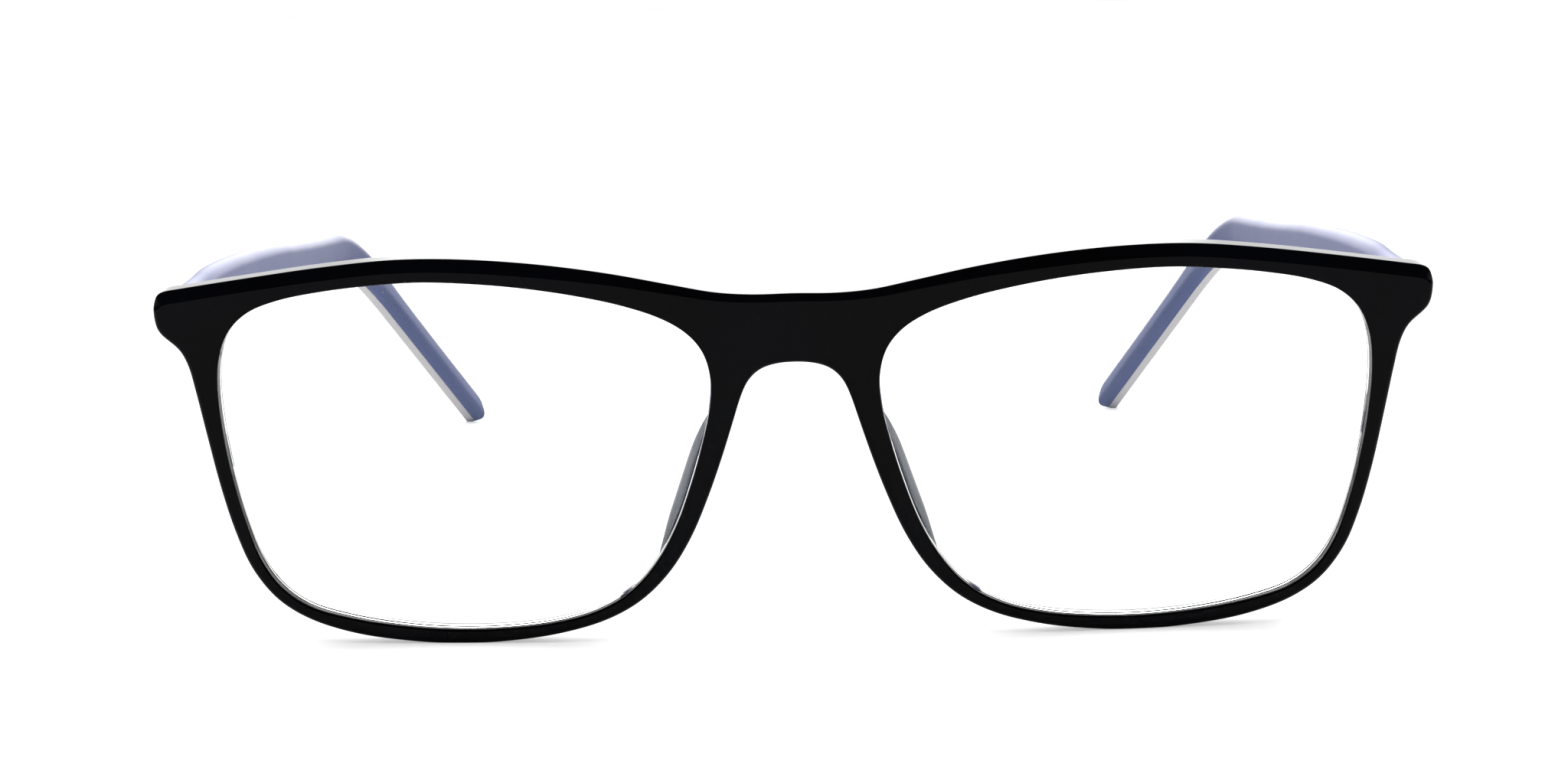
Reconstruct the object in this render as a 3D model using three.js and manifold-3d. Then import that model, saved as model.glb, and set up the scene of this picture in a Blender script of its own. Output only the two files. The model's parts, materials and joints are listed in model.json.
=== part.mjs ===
// Full-rim reading glasses with clear filter lenses, standing open on a table.
// Millimetres, +Z up, the front faces -Y, X = 0 is the plane of symmetry.
import * as THREE from 'three';
import { mergeVertices } from 'three/addons/utils/BufferGeometryUtils.js';
import Module from 'manifold-3d';

const wasm = await Module();
wasm.setup();

// ---------------------------------------------------------------- driving dimensions

const FRONT_Y = -67.77;             // rim feet, so that the box of the whole object is centred on Y = 0
const FRONT_LEAN = THREE.MathUtils.degToRad(5);    // the top of the front leans forward
const FRONT_THICK = 4;              // at the brow and the endpieces, above the second of these heights
const RIM_THICK = 3.2;              // at the bottom of the rims, below the first one
const TAPER_HEIGHTS = [8, 34];
const WRAP_RADIUS = 600;            // the front is bent round the face about an upright axis
const FOOT_CUT = 0.3;               // how much of each rim is flattened where it stands
const EDGE_ROUND = 0.4;
const BROW_CHAMFER = 1.2;           // bright-cut bevel along the top edge of the front
const BRIDGE_CHAMFER = 0.7;
const CHAMFER_FROM = [38.4, 39.5];  // it fades in between these heights
const CHAMFER_WIDENS = [4, 30];     // and widens between these distances from the middle

const LENS_CENTRE = [36.2, 21.6];
const LENS_RADIUS = 260;
const LENS_THICK = 1.8;
const LENS_BEVEL_ROOT = 1;          // the edge is a blunt V that sits in the groove
const LENS_BEVEL_TIP = 0.2;
const LENS_REACH = 0.6;             // how far the V enters the rim
const GROOVE_DEPTH = 0.9;
const GROOVE_WIDTH = 1.3;
const GROOVE_W = 0.68;              // groove centre behind the front face, at the middle of the lens
const GAP = 0.3;                    // air between a piece and the pocket that holds it

const TEMPLE_THICK = 3.2;
const TEMPLE_INNER_THICK = 1.75;    // blue layer; the pale layer is the rest
const LAYER_GAP = 0.06;             // the glue line between the two layers
const TEMPLE_SLOPE = THREE.MathUtils.degToRad(3.2);
const TEMPLE_X = 67.8;
const TEMPLE_START = 8.35;          // depth of the temple's front end behind the front face's middle
const TEMPLE_CENTRE_V = 37.45;      // height of the temple's centre line where it meets the front
const BEND_Y = 113.4;               // corner of the ear bend, behind the rim feet
const BEND_EASE = 13;               // the bend starts this far before its corner and ends this far after
const TIP = [52.1, 137.9, 1.2];     // end of the centre line, behind the rim feet

const HINGE_LEAN = THREE.MathUtils.degToRad(2);    // lets the folded temples cross behind the bridge
const PIVOT_X = 64.35;
const PIVOT_BEHIND = 3;             // pivot axis behind the back of the endpiece
const KNUCKLE_R = 1.45;
const KNUCKLE_H = 1.3;
const KNUCKLE_GAP = 0.08;
const BORE_R = 0.76;
const SCREW_R = 0.68;
const HEAD_R = 1.15;
const HEAD_H = 0.6;
const SLOT = 0.3;

const LEAF_THICK = 0.8;
const LEAF_X = 65.75;               // middle of the plate let into the back of the endpiece
const LEAF_HALF_WIDTH = 2.6;
const LEAF_HALF_HEIGHT = 2.05;
const LEAF_PROUD = 0.15;            // the temple's leaf stands this much above the inner face
const LEAF_START = 1.7;             // along the temple
const LEAF_LENGTH = 10.5;
const TEMPLE_LEAF_HALF = 1.65;
const FIT = 0.15;                   // clearance round a hinge leaf or a wire in its pocket
const EAR_HALF_WIDTH = 1.1;
const FIX_HEAD_R = 0.72;
const FIX_HEAD_H = 0.3;
const FIX_SHANK_R = 0.42;
const FIX_LENGTH = 1.55;
const FIX_SLOT_WIDTH = 0.24;
const FIX_SLOT_DEPTH = 0.18;
const FIX_FIT = 0.12;               // clearance round a fixing screw
const FRONT_SCREW_IN = 1.05;        // from the outer end of the endpiece's plate
const FRONT_SCREW_APART = 1.15;     // from the middle of that plate, up and down
const TEMPLE_SCREW_IN = [4.2, 1.4]; // from the front and the rear end of the temple's plate
const WEB_FRONT = 0.7;              // the web to the middle knuckle starts this far before the pivot

const WIRE_THICK = 0.7;
const WIRE_HALF = 0.55;
const WIRE_START = 14;
const WIRE_END = 12;                // the wire stops this far short of the tip
const WIRE_STEPS = 24;
const WIRE_DEPTH = 0.12;            // below the seam of the two layers
const TIP_ROUND = 2.4;
const TIP_LOW = 0.35;               // share of the height that is left at the very end of the tip

// ---------------------------------------------------------------- outlines of the right half

// x from the middle, v up from the rim feet: brow, endpiece, rim, bridge underside
const OUTLINE_HALF = [
  [0, 39.6], [4.5, 39.55], [8.5, 39.85], [13, 40.7], [20, 42.05], [28, 43.15], [36, 43.75], [43, 43.75],
  [51, 42.97], [60, 41.68], [67.4, 40.5], [69, 40.22], [69.68, 39.85], [69.86, 39.1], [69.84, 37], [69.5, 35.85],
  [68.5, 34.9], [67.35, 33.9], [66.5, 32.1], [65.9, 29.2], [65, 24], [63.9, 18], [62.6, 12.8],
  [61, 8.6], [58.4, 5.1], [55, 2.85], [50, 1.2], [44, 0.32], [38, 0], [32, 0.35], [26.5, 1.2],
  [21.5, 2.7], [17.6, 4.9], [14.3, 8.2], [11.8, 12.2], [9.8, 16.8], [8.2, 21.2], [6.9, 25.2],
  [5.9, 28.3], [5.1, 30], [3.8, 31.25], [2, 31.85], [0, 32],
];

// lens opening of the right eye
const OPENING = [
  [41, 41.4], [46, 41.05], [51, 40.45], [56, 39.45], [59.4, 38.1], [61.6, 36.05], [62.85, 33.2],
  [63.3, 29.5], [63.05, 24.2], [62.35, 19.2], [61.3, 14.3], [59.8, 9.7], [57.75, 6.6], [54.8, 4.45],
  [50, 3.05], [44, 2.15], [38, 1.8], [32, 2], [27, 2.62], [22.5, 3.9], [18.8, 6.05], [15.8, 9.4],
  [13.5, 13.5], [11.7, 18.3], [10.3, 23], [9.35, 27.2], [9.2, 30.4], [9.95, 33.3], [11.6, 35.4],
  [14.3, 37.1], [18.5, 38.6], [24, 39.85], [30, 40.76], [36, 41.28],
];

// centre line of the nasal rim's back, from low to high, and the share of the pad's full height there
const PAD_LINE = [
  [15.2, 8.2, 0.1], [14.1, 9.9, 0.5], [13.05, 11.9, 0.8], [12.1, 14, 0.96], [11.15, 16.6, 1],
  [10.3, 19.2, 0.95], [9.5, 21.8, 0.8], [8.8, 24.2, 0.5], [8.3, 26, 0.1],
];
const PAD_HEIGHT = 5.2;
const PAD_HALF_WIDTH = 1.25;
const PAD_FLARE = 0.22;             // the pads open towards the face
const PAD_GAP = 0.25;               // between a pad and the rim it is stuck to

// height of the temple's upper and lower edge over its centre line, against the distance from the front
const TEMPLE_EDGES = [
  [0, 2.5, -2.5], [6, 3.05, -2.65], [12, 3.8, -2.75], [26, 4.3, -2.85], [50, 4.2, -2.8], [62, 3.75, -2.45],
  [78, 3.3, -2.1], [98, 3, -1.9], [112, 2.8, -1.8], [124, 2.25, -1.8], [170, 2.2, -1.8],
];

// ---------------------------------------------------------------- small geometry helpers

const toVector = ([x, v]) => new THREE.Vector3(x, v, 0);

function smoothLoop(points, count) {
  const curve = new THREE.CatmullRomCurve3(points.map(toVector), true, 'centripetal');
  return curve.getSpacedPoints(count).slice(0, count).map((p) => [p.x, p.y]);
}

function mirrorLoop(loop) {
  return loop.map(([x, v]) => [-x, v]).reverse();
}

// moves every point of a clockwise loop sideways; positive distances go outwards
function offsetLoop(loop, distance) {
  return loop.map((point, i) => {
    const before = loop[(i + loop.length - 1) % loop.length];
    const after = loop[(i + 1) % loop.length];
    const along = new THREE.Vector2(after[0] - before[0], after[1] - before[1]).normalize();
    const shift = typeof distance === 'function' ? distance(point) : distance;
    return [point[0] - along.y * shift, point[1] + along.x * shift];
  });
}

// a solid from rings of equal length; neighbouring rings are joined by quads
class RingMesh {
  constructor() {
    this.positions = [];
    this.faces = [];
  }

  ring(points) {
    const first = this.positions.length;
    this.positions.push(...points);
    return points.map((_, i) => first + i);
  }

  wall(a, b) {
    a.forEach((_, i) => {
      const j = (i + 1) % a.length;
      this.faces.push([a[i], b[i], b[j]], [a[i], b[j], a[j]]);
    });
  }

  fan(ring, centre) {
    const middle = this.positions.push(centre) - 1;
    ring.forEach((_, i) => this.faces.push([ring[i], ring[(i + 1) % ring.length], middle]));
  }

  // fills the face between one outer ring and its holes, turned clockwise or not in x and v
  cap(outer, holes, clockwise) {
    const flat = (ring) => ring.map((i) => new THREE.Vector2(this.positions[i][0], this.positions[i][1]));
    const order = [outer, ...holes].flat();
    const points = [outer, ...holes].map(flat).flat();
    for (const [a, b, c] of THREE.ShapeUtils.triangulateShape(flat(outer), holes.map(flat))) {
      const turned = THREE.ShapeUtils.isClockWise([points[a], points[b], points[c]]) !== clockwise;
      this.faces.push(turned ? [order[a], order[c], order[b]] : [order[a], order[b], order[c]]);
    }
  }

  build(place) {
    const geometry = new THREE.BufferGeometry();
    const placed = this.positions.flatMap((p) => place(p));
    geometry.setAttribute('position', new THREE.Float32BufferAttribute(placed, 3));
    geometry.setIndex(this.faces.flat());
    return outward(geometry);
  }
}

function volumeOf(geometry) {
  const at = geometry.getAttribute('position');
  const index = geometry.getIndex().array;
  const [a, b, c] = [new THREE.Vector3(), new THREE.Vector3(), new THREE.Vector3()];
  let sum = 0;
  for (let i = 0; i < index.length; i += 3) {
    a.fromBufferAttribute(at, index[i]);
    b.fromBufferAttribute(at, index[i + 1]);
    c.fromBufferAttribute(at, index[i + 2]);
    sum += a.dot(b.cross(c));
  }
  return sum / 6;
}

function outward(geometry) {
  if (volumeOf(geometry) < 0) {
    const index = geometry.getIndex().array;
    for (let i = 0; i < index.length; i += 3) {
      [index[i], index[i + 1]] = [index[i + 1], index[i]];
    }
  }
  return geometry;
}

function toManifold(source) {
  const bare = source.clone();
  bare.deleteAttribute('normal');
  bare.deleteAttribute('uv');
  const merged = mergeVertices(bare, 1e-4);
  return new wasm.Manifold(new wasm.Mesh({
    numProp: 3,
    vertProperties: new Float32Array(merged.getAttribute('position').array),
    triVerts: new Uint32Array(merged.getIndex().array),
  }));
}

function fromManifold(manifold) {
  const mesh = manifold.getMesh();
  const geometry = new THREE.BufferGeometry();
  geometry.setAttribute('position', new THREE.Float32BufferAttribute(mesh.vertProperties, 3));
  geometry.setIndex(Array.from(mesh.triVerts));
  return geometry;
}

function cutBy(geometry, tools) {
  const whole = toManifold(geometry);
  return fromManifold(tools.reduce((body, tool) => body.subtract(toManifold(tool)), whole));
}

function joined(geometries) {
  return fromManifold(geometries.map(toManifold).reduce((all, piece) => all.add(piece)));
}

// ---------------------------------------------------------------- the frame of the front

const UP = new THREE.Vector3(0, -Math.sin(FRONT_LEAN), Math.cos(FRONT_LEAN));
const BACK = new THREE.Vector3(0, Math.cos(FRONT_LEAN), Math.sin(FRONT_LEAN));

// x, v up the front, w behind its front face (bent round the face) to the object's frame
function onFront([x, v, w]) {
  const depth = w + (x * x) / (2 * WRAP_RADIUS);
  return [x, FRONT_Y + (v - FOOT_CUT) * UP.y + depth * BACK.y, (v - FOOT_CUT) * UP.z + depth * BACK.z];
}

// depth of the middle of the groove, which follows the lens's dome
function grooveDepth(x, v) {
  const dx = Math.abs(x) - LENS_CENTRE[0];
  const dv = v - LENS_CENTRE[1];
  return GROOVE_W + (dx * dx + dv * dv) / (2 * LENS_RADIUS);
}

function atDepth(loop, depth) {
  return loop.map(([x, v]) => [x, v, typeof depth === 'function' ? depth([x, v]) : depth]);
}

const OUTER_LOOP = smoothLoop(
  [...OUTLINE_HALF, ...OUTLINE_HALF.slice(1, -1).reverse().map(([x, v]) => [-x, v])], 176);
const OPENING_RIGHT = smoothLoop(OPENING, 52);
const OPENING_LEFT = mirrorLoop(OPENING_RIGHT);

// the bevel runs along the brow only, and narrows over the bridge
function chamferAt([x, v]) {
  const brow = THREE.MathUtils.smoothstep(v, ...CHAMFER_FROM);
  const widening = THREE.MathUtils.smoothstep(Math.abs(x), ...CHAMFER_WIDENS);
  const width = THREE.MathUtils.lerp(BRIDGE_CHAMFER, BROW_CHAMFER, widening);
  return THREE.MathUtils.lerp(EDGE_ROUND, width, brow);
}

function thicknessAt([, v]) {
  return THREE.MathUtils.lerp(RIM_THICK, FRONT_THICK, THREE.MathUtils.smoothstep(v, ...TAPER_HEIGHTS));
}

function frontBody() {
  const mesh = new RingMesh();
  const inner = offsetLoop(OUTER_LOOP, -EDGE_ROUND);
  const outerRings = [
    mesh.ring(atDepth(offsetLoop(OUTER_LOOP, (p) => -chamferAt(p)), 0)),
    mesh.ring(atDepth(OUTER_LOOP, chamferAt)),
    mesh.ring(atDepth(OUTER_LOOP, (p) => thicknessAt(p) - EDGE_ROUND)),
    mesh.ring(atDepth(inner, thicknessAt)),
  ];
  for (let i = 1; i < outerRings.length; i += 1) {
    mesh.wall(outerRings[i - 1], outerRings[i]);
  }
  const holes = [OPENING_RIGHT, OPENING_LEFT].map((opening) => {
    const wide = offsetLoop(opening, GROOVE_DEPTH);
    const side = (sign) => ([x, v]) => grooveDepth(x, v) + (sign * GROOVE_WIDTH) / 2;
    const rings = [
      mesh.ring(atDepth(opening, 0)),
      mesh.ring(atDepth(opening, side(-1))),
      mesh.ring(atDepth(wide, side(-1))),
      mesh.ring(atDepth(wide, side(1))),
      mesh.ring(atDepth(opening, side(1))),
      mesh.ring(atDepth(opening, thicknessAt)),
    ];
    for (let i = 1; i < rings.length; i += 1) {
      mesh.wall(rings[i], rings[i - 1]);
    }
    return rings;
  });
  mesh.cap(outerRings[0], holes.map((rings) => rings[0]), true);
  mesh.cap(outerRings[3], holes.map((rings) => rings[5]), false);
  return mesh.build(onFront);
}

// ---------------------------------------------------------------- lens and nose pad, right side

function lensBody() {
  const mesh = new RingMesh();
  const tongue = offsetLoop(OPENING_RIGHT, LENS_REACH);
  const shoulder = offsetLoop(OPENING_RIGHT, -GAP);
  const shrunk = (share) => shoulder.map(([x, v]) => [
    LENS_CENTRE[0] + (x - LENS_CENTRE[0]) * share,
    LENS_CENTRE[1] + (v - LENS_CENTRE[1]) * share,
  ]);
  const at = (loop, offset) => mesh.ring(loop.map(([x, v]) => [x, v, grooveDepth(x, v) + offset]));
  const face = LENS_THICK / 2;
  const rings = [
    at(shrunk(0.3), -face), at(shrunk(0.65), -face), at(shoulder, -face),
    at(shoulder, -LENS_BEVEL_ROOT / 2), at(tongue, -LENS_BEVEL_TIP / 2),
    at(tongue, LENS_BEVEL_TIP / 2), at(shoulder, LENS_BEVEL_ROOT / 2),
    at(shoulder, face), at(shrunk(0.65), face), at(shrunk(0.3), face),
  ];
  for (let i = 1; i < rings.length; i += 1) {
    mesh.wall(rings[i - 1], rings[i]);
  }
  const middle = (offset) => [...LENS_CENTRE, grooveDepth(...LENS_CENTRE) + offset];
  mesh.fan(rings[0], middle(-face));
  mesh.fan([...rings[rings.length - 1]].reverse(), middle(face));
  return mesh.build(onFront);
}

function padBody() {
  const mesh = new RingMesh();
  const rings = PAD_LINE.map(([x, v, share], i) => {
    const [x0, v0] = PAD_LINE[Math.max(i - 1, 0)];
    const [x1, v1] = PAD_LINE[Math.min(i + 1, PAD_LINE.length - 1)];
    const across = new THREE.Vector2(v1 - v0, x0 - x1).normalize();
    const tall = PAD_HEIGHT * share;
    const half = PAD_HALF_WIDTH * Math.min(1, 0.55 + share * 0.5);
    const base = thicknessAt([x, v]) + PAD_GAP;
    const section = [[-1, 0], [1, 0], [1, 0.55], [0.75, 0.88], [0.2, 1], [-0.45, 0.9], [-0.9, 0.5]];
    return mesh.ring(section.map(([side, rise]) => {
      const shift = side * half + rise * tall * PAD_FLARE;
      return [x + across.x * shift, v + across.y * shift, base + rise * tall];
    }));
  });
  for (let i = 1; i < rings.length; i += 1) {
    mesh.wall(rings[i - 1], rings[i]);
  }
  const mean = (ring, k) => ring.reduce((sum, i) => sum + mesh.positions[i][k], 0) / ring.length;
  const centre = (ring) => [0, 1, 2].map((k) => mean(ring, k));
  mesh.fan(rings[0], centre(rings[0]));
  const last = rings[rings.length - 1];
  mesh.fan([...last].reverse(), centre(last));
  return mesh.build(onFront);
}

// ---------------------------------------------------------------- temple, right side

const ALONG = new THREE.Vector3(0, Math.cos(TEMPLE_SLOPE), -Math.sin(TEMPLE_SLOPE));
const AXIS = new THREE.Vector3(0, Math.sin(TEMPLE_SLOPE), Math.cos(TEMPLE_SLOPE));
const OUTWARD = new THREE.Vector3(1, 0, 0);
const backOfEnd = new THREE.Vector3(...onFront([0, TEMPLE_CENTRE_V, TEMPLE_START]));
const TEMPLE_ORIGIN = new THREE.Vector3(TEMPLE_X, backOfEnd.y, backOfEnd.z);

function templePath() {
  const tip = new THREE.Vector3(TIP[0], FRONT_Y + TIP[1], TIP[2]);
  const reach = (FRONT_Y + BEND_Y - TEMPLE_ORIGIN.y) / ALONG.y;
  const corner = TEMPLE_ORIGIN.clone().addScaledVector(ALONG, reach);
  const drop = tip.clone().sub(corner).normalize();
  const before = corner.clone().addScaledVector(ALONG, -BEND_EASE);
  const after = corner.clone().addScaledVector(drop, BEND_EASE);
  const path = new THREE.CurvePath();
  path.add(new THREE.LineCurve3(TEMPLE_ORIGIN, before));
  path.add(new THREE.QuadraticBezierCurve3(before, corner, after));
  path.add(new THREE.LineCurve3(after, tip));
  return path;
}

const PATH = templePath();
const STRAIGHT_STEPS = [0, 3, 6, 9, 12, 19, 26, 38, 50, 54, 58, 62, 70, 78, 85];

function stationsOfTemple() {
  const total = PATH.getLength();
  const straight = PATH.curves[0].getLength();
  const bend = PATH.curves[1].getLength();
  const steps = [...STRAIGHT_STEPS];
  for (let i = 0; i <= 10; i += 1) {
    steps.push(straight + (bend * i) / 10);
  }
  steps.push((straight + bend + total) / 2);
  steps.push(...[1, 0.6, 0.3, 0.1, 0].map((share) => total - TIP_ROUND * share));
  return steps;
}

function edgesAt(distance) {
  const i = TEMPLE_EDGES.findIndex(([at]) => at > distance);
  const [a, b] = [TEMPLE_EDGES[i - 1], TEMPLE_EDGES[i]];
  const share = THREE.MathUtils.smoothstep(distance, a[0], b[0]);
  return [THREE.MathUtils.lerp(a[1], b[1], share), THREE.MathUtils.lerp(a[2], b[2], share)];
}

// the temple's own axes at a distance from its front end: out from the head, and up across the bar
function frameAt(distance) {
  const along = PATH.getTangentAt(Math.min(distance / PATH.getLength(), 1));
  const out = OUTWARD.clone().addScaledVector(along, -OUTWARD.dot(along)).normalize();
  const up = new THREE.Vector3().crossVectors(out, along).normalize();
  return { at: PATH.getPointAt(Math.min(distance / PATH.getLength(), 1)), along, out, up };
}

// a bar that follows the temple; the section lists [out, up] corners for a distance along it
function sweep(distances, sectionAt) {
  const mesh = new RingMesh();
  const rings = distances.map((distance) => {
    const { at, along, out, up } = frameAt(distance);
    return mesh.ring(sectionAt(distance).map(([n, u]) => {
      const point = at.clone().addScaledVector(out, n).addScaledVector(up, u);
      if (distance === 0) {
        point.addScaledVector(along, (-u * up.dot(BACK)) / along.dot(BACK));
      }
      return point.toArray();
    }));
  });
  for (let i = 1; i < rings.length; i += 1) {
    mesh.wall(rings[i - 1], rings[i]);
  }
  const last = rings[rings.length - 1];
  for (let i = 1; i < rings[0].length - 1; i += 1) {
    mesh.faces.push([rings[0][0], rings[0][i], rings[0][i + 1]], [last[0], last[i + 1], last[i]]);
  }
  return mesh.build((point) => point);
}

const TEMPLE_LENGTH = PATH.getLength();
const INNER_FACE = -TEMPLE_THICK / 2;
const SEAM = INNER_FACE + TEMPLE_INNER_THICK;

// the upper corner of the tip is rounded off
function tipEdgesAt(distance) {
  const [high, low] = edgesAt(distance);
  const past = THREE.MathUtils.clamp((distance - TEMPLE_LENGTH) / TIP_ROUND + 1, 0, 1);
  return [low + (high - low) * THREE.MathUtils.lerp(TIP_LOW, 1, Math.sqrt(1 - past * past)), low];
}

function layer(from, to, cornerSide) {
  return sweep(stationsOfTemple(), (distance) => {
    const [high, low] = tipEdgesAt(distance);
    const cut = (n) => (n === cornerSide ? EDGE_ROUND : 0);
    const step = Math.sign(to - from) * EDGE_ROUND;
    if (cut(from)) {
      return [
        [from, low + EDGE_ROUND], [from + step, low], [to, low],
        [to, high], [from + step, high], [from, high - EDGE_ROUND],
      ];
    }
    return [
      [from, low], [to - step, low], [to, low + EDGE_ROUND],
      [to, high - EDGE_ROUND], [to - step, high], [from, high],
    ];
  });
}

function evenSteps(from, to, steps) {
  return Array.from({ length: steps + 1 }, (_, i) => from + ((to - from) * i) / steps);
}

const bar = (n0, n1, half) => () => [[n0, -half], [n1, -half], [n1, half], [n0, half]];

// a box or a cylinder with its own axes: the first three basis vectors are its x, y and z
function placed(geometry, at, x, y, z) {
  return geometry.applyMatrix4(new THREE.Matrix4().makeBasis(x, y, z).setPosition(at));
}

function boxAt(at, axes, [x0, x1], [y0, y1], [z0, z1]) {
  const geometry = new THREE.BoxGeometry(x1 - x0, y1 - y0, z1 - z0);
  geometry.translate((x0 + x1) / 2, (y0 + y1) / 2, (z0 + z1) / 2);
  return placed(geometry, at, ...axes);
}

// a round pin along the last of its axes
function pinAt(at, axes, radius, [z0, z1], sides = 16) {
  const geometry = new THREE.CylinderGeometry(radius, radius, z1 - z0, sides);
  geometry.rotateX(Math.PI / 2);
  geometry.translate(0, 0, (z0 + z1) / 2);
  return placed(geometry, at, ...axes);
}

// ---------------------------------------------------------------- hinge, right side

const HINGE_AXIS = new THREE.Vector3(0, -Math.sin(HINGE_LEAN), Math.cos(HINGE_LEAN));
const HINGE_AXES = [OUTWARD, new THREE.Vector3().crossVectors(HINGE_AXIS, OUTWARD), HINGE_AXIS];
const TEMPLE_AXES = [OUTWARD, ALONG, AXIS];
const WRAP_DEPTH = TEMPLE_X ** 2 / (2 * WRAP_RADIUS);
const PIVOT = TEMPLE_ORIGIN.clone()
  .addScaledVector(OUTWARD, PIVOT_X - TEMPLE_X)
  .addScaledVector(ALONG, PIVOT_BEHIND - (TEMPLE_START - FRONT_THICK - WRAP_DEPTH));
const PITCH = KNUCKLE_H + KNUCKLE_GAP;

const ENDPIECE_AT = new THREE.Vector3(...onFront([LEAF_X, TEMPLE_CENTRE_V, FRONT_THICK]));
const ENDPIECE_ACROSS = new THREE.Vector3(...onFront([LEAF_X + 1, TEMPLE_CENTRE_V, FRONT_THICK]))
  .sub(ENDPIECE_AT).normalize();
const ENDPIECE_OUT = new THREE.Vector3().crossVectors(UP, ENDPIECE_ACROSS).normalize();
const ENDPIECE_AXES = [ENDPIECE_ACROSS, ENDPIECE_OUT, UP];

const FRONT_LEAF_SCREWS = [-1, 1].map((side) => ENDPIECE_AT.clone()
  .addScaledVector(ENDPIECE_ACROSS, LEAF_HALF_WIDTH - FRONT_SCREW_IN)
  .addScaledVector(UP, side * FRONT_SCREW_APART));
const FRONT_SCREW_AXES = [UP, ENDPIECE_ACROSS, ENDPIECE_OUT];
const TEMPLE_LEAF_SCREWS = [TEMPLE_SCREW_IN[0], LEAF_LENGTH - TEMPLE_SCREW_IN[1]].map(
  (along) => frameAt(LEAF_START + along).at.addScaledVector(OUTWARD, INNER_FACE - LEAF_PROUD));
const TEMPLE_SCREW_AXES = [AXIS, ALONG, OUTWARD.clone().negate()];

const KNUCKLE_SPAN = [-KNUCKLE_H / 2, KNUCKLE_H / 2];
const onPivot = (height) => PIVOT.clone().addScaledVector(HINGE_AXIS, height);
const knuckle = (height) => pinAt(onPivot(height), HINGE_AXES, KNUCKLE_R, KNUCKLE_SPAN);
const bore = () => pinAt(PIVOT, HINGE_AXES, BORE_R, [-6, 6]);
const screwHoles = (places, axes) => places.flatMap((at) => [
  pinAt(at, axes, FIX_HEAD_R + FIX_FIT, [-FIX_HEAD_H - FIX_FIT, 1], 12),
  pinAt(at, axes, FIX_SHANK_R + FIX_FIT, [-FIX_LENGTH - FIX_FIT, 1], 12),
]);

function frontLeaf() {
  const plate = boxAt(ENDPIECE_AT, ENDPIECE_AXES,
    [-LEAF_HALF_WIDTH, LEAF_HALF_WIDTH], [-LEAF_THICK, 0], [-LEAF_HALF_HEIGHT, LEAF_HALF_HEIGHT]);
  const ears = [-PITCH, PITCH].flatMap((height) => [
    knuckle(height),
    boxAt(onPivot(height), HINGE_AXES,
      [-EAR_HALF_WIDTH, EAR_HALF_WIDTH], [-PIVOT_BEHIND - LEAF_THICK / 2, 0], KNUCKLE_SPAN),
  ]);
  const holes = screwHoles(FRONT_LEAF_SCREWS, FRONT_SCREW_AXES);
  return cutBy(joined([plate, ...ears]), [bore(), ...holes]);
}

function templeLeaf() {
  const face = INNER_FACE - LEAF_PROUD;
  const plate = boxAt(frameAt(LEAF_START).at, TEMPLE_AXES,
    [face, face + LEAF_THICK], [0, LEAF_LENGTH], [-TEMPLE_LEAF_HALF, TEMPLE_LEAF_HALF]);
  const reach = TEMPLE_X + face + LEAF_THICK / 2 - PIVOT_X;
  const web = boxAt(PIVOT, HINGE_AXES, [0, reach], [-WEB_FRONT, KNUCKLE_R], KNUCKLE_SPAN);
  const holes = screwHoles(TEMPLE_LEAF_SCREWS, TEMPLE_SCREW_AXES);
  return cutBy(joined([plate, knuckle(0), web]), [bore(), ...holes]);
}

function hingeScrew() {
  const top = PITCH + KNUCKLE_H / 2 + 0.05;
  const shank = pinAt(PIVOT, HINGE_AXES, SCREW_R, [-top, top + 0.2]);
  const head = pinAt(PIVOT, HINGE_AXES, HEAD_R, [top, top + HEAD_H]);
  const slot = boxAt(PIVOT, HINGE_AXES, [-2, 2], [-SLOT / 2, SLOT / 2],
    [top + HEAD_H - SLOT, top + HEAD_H + 1]);
  return cutBy(joined([shank, head]), [slot]);
}

function fixingScrew(at, axes) {
  const shank = pinAt(at, axes, FIX_SHANK_R, [-FIX_LENGTH, -0.1], 12);
  const head = pinAt(at, axes, FIX_HEAD_R, [-FIX_HEAD_H, 0], 12);
  const slot = boxAt(at, axes, [-2, 2], [-FIX_SLOT_WIDTH / 2, FIX_SLOT_WIDTH / 2], [-FIX_SLOT_DEPTH, 1]);
  return cutBy(joined([shank, head]), [slot]);
}

// ---------------------------------------------------------------- whole pieces

// everything below the table's surface
const FLOOR = new THREE.BoxGeometry(200, 300, 8).translate(0, 0, -4);

function mirrored(tool) {
  const bare = tool.clone().deleteAttribute('uv').deleteAttribute('normal');
  return outward(mergeVertices(bare.applyMatrix4(new THREE.Matrix4().makeScale(-1, 1, 1))));
}

function frontFrame() {
  const pocket = boxAt(ENDPIECE_AT, ENDPIECE_AXES, [-LEAF_HALF_WIDTH - FIT, LEAF_HALF_WIDTH + FIT],
    [-LEAF_THICK - FIT, 3], [-LEAF_HALF_HEIGHT - FIT, LEAF_HALF_HEIGHT + FIT]);
  const cuts = [pocket, ...screwHoles(FRONT_LEAF_SCREWS, FRONT_SCREW_AXES)];
  return cutBy(frontBody(), [...cuts, ...cuts.map(mirrored), FLOOR]);
}

function templeInner() {
  const pocket = boxAt(frameAt(LEAF_START).at, TEMPLE_AXES,
    [INNER_FACE - 1, INNER_FACE - LEAF_PROUD + LEAF_THICK + 0.1],
    [-FIT, LEAF_LENGTH + FIT], [-TEMPLE_LEAF_HALF - FIT, TEMPLE_LEAF_HALF + FIT]);
  const groove = sweep(evenSteps(WIRE_START - 0.4, TEMPLE_LENGTH - WIRE_END + 0.4, WIRE_STEPS),
    bar(SEAM - WIRE_THICK - 2 * WIRE_DEPTH, SEAM + 0.5, WIRE_HALF + FIT));
  const holes = screwHoles(TEMPLE_LEAF_SCREWS, TEMPLE_SCREW_AXES);
  return cutBy(layer(INNER_FACE, SEAM, INNER_FACE), [pocket, groove, ...holes, FLOOR]);
}

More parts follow.
